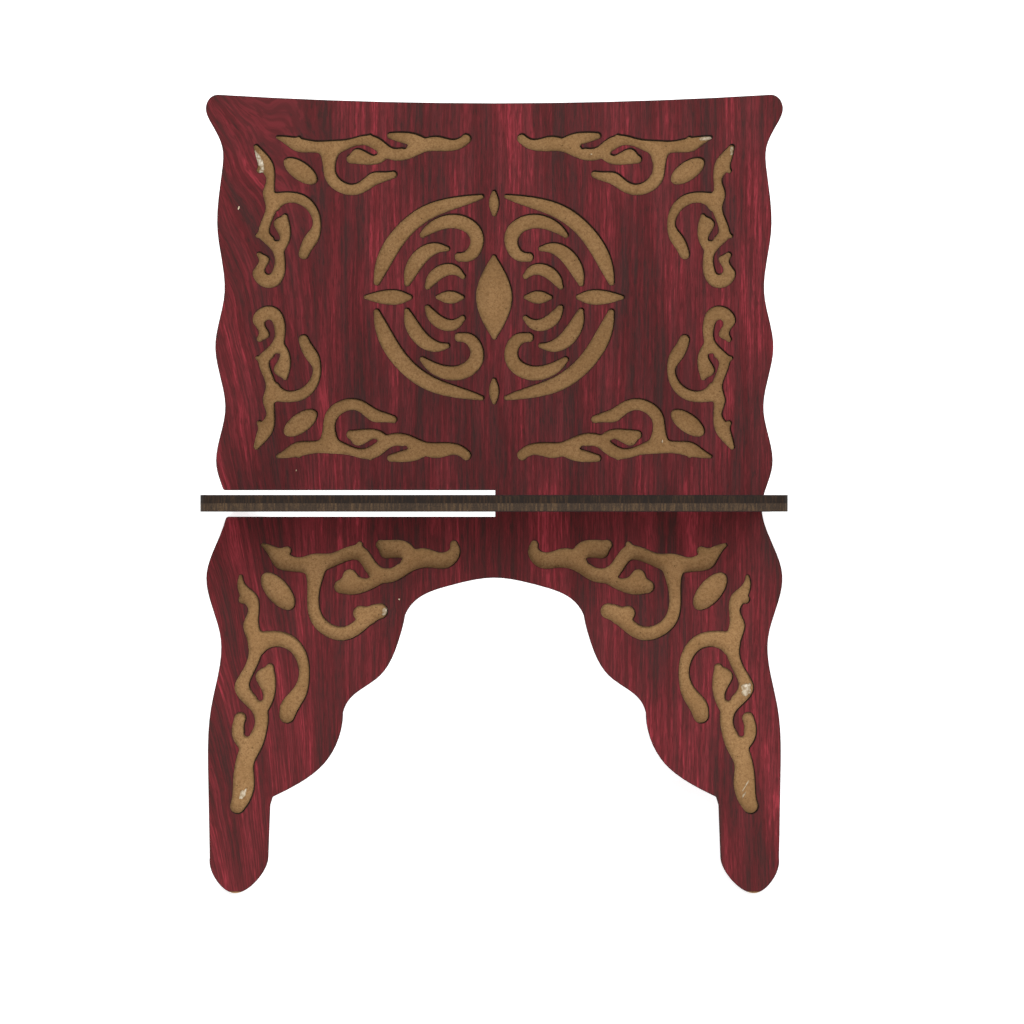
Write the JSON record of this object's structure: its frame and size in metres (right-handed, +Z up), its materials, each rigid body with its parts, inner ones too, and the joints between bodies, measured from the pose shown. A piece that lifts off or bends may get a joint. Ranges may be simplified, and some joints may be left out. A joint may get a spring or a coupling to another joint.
{
  "type": "book stand",
  "caption": "Cross-lapped book stand: two equal fret-cut boards with scroll ornament slide together through half-width slots and stand as an X with a V cradle for an open book.",
  "frame": {"origin": "on the surface the feet stand on, under the middle of the line where the boards cross", "axes": "+X along the crossing line, +Y towards the top of the front board, +Z up"},
  "size_m": [0.2096, 0.2142, 0.2091],
  "materials": {
    "wood_grain_film": "satin rosewood print",
    "fibreboard": "raw fibreboard with scorched edges"
  },
  "bodies": {
    "front_board": {"front_board_face_film": "wood_grain_film", "front_board_fret_sheet": "fibreboard", "front_board_backing_sheet": "fibreboard", "front_board_rear_film": "wood_grain_film"},
    "back_board": {"back_board_face_film": "wood_grain_film", "back_board_fret_sheet": "fibreboard", "back_board_backing_sheet": "fibreboard", "back_board_rear_film": "wood_grain_film"}
  },
  "joints": [
    {"name": "opening_angle", "type": "hinge", "parent": "front_board", "child": "back_board", "pos_m": [0, 0, 0.10197], "axis": [1, 0, 0], "range_deg": [-25, 25]}
  ]
}
